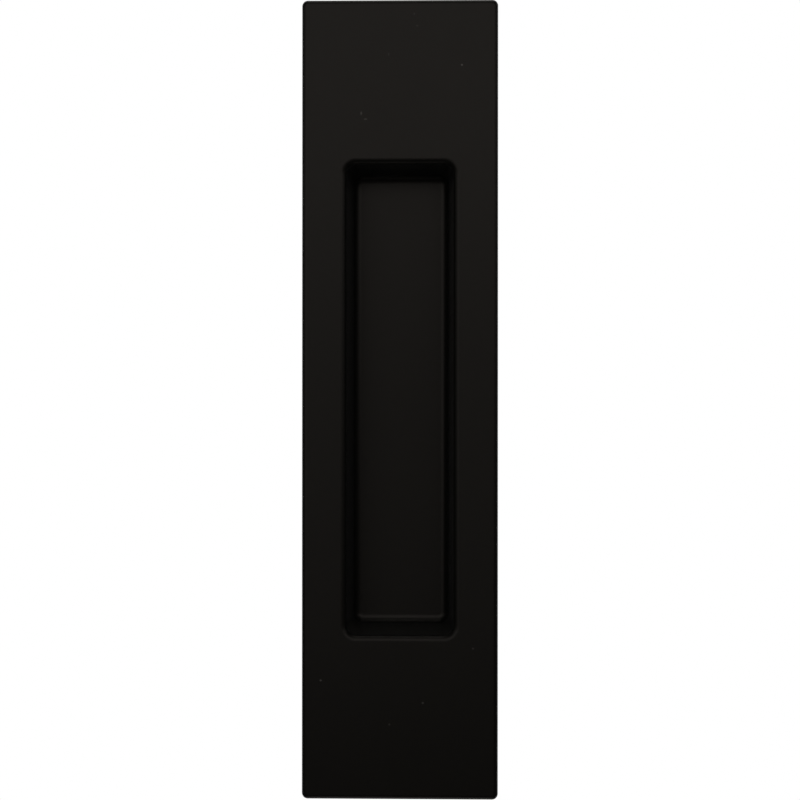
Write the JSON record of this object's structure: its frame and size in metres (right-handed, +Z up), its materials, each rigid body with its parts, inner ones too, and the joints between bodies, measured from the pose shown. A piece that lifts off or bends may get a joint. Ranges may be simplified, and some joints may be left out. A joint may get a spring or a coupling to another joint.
{
  "type": "pocket door pull",
  "caption": "Black one-piece flush pull for a pocket door: a slim rectangular plate with a deep rounded finger recess, a ribbed hollow back and rear tapped bosses for hidden screws.",
  "frame": {"origin": "centre of the plate's back face, the face that lies on the door, midway between the two fixing bosses", "axes": "+X to the right of someone facing the pull, +Y into the door, +Z up the door along the plate"},
  "size_m": [0.04, 0.0143, 0.163],
  "materials": {
    "black_finish": "satin"
  },
  "bodies": {
    "root": {"pull_body": "black_finish"}
  },
  "joints": []
}
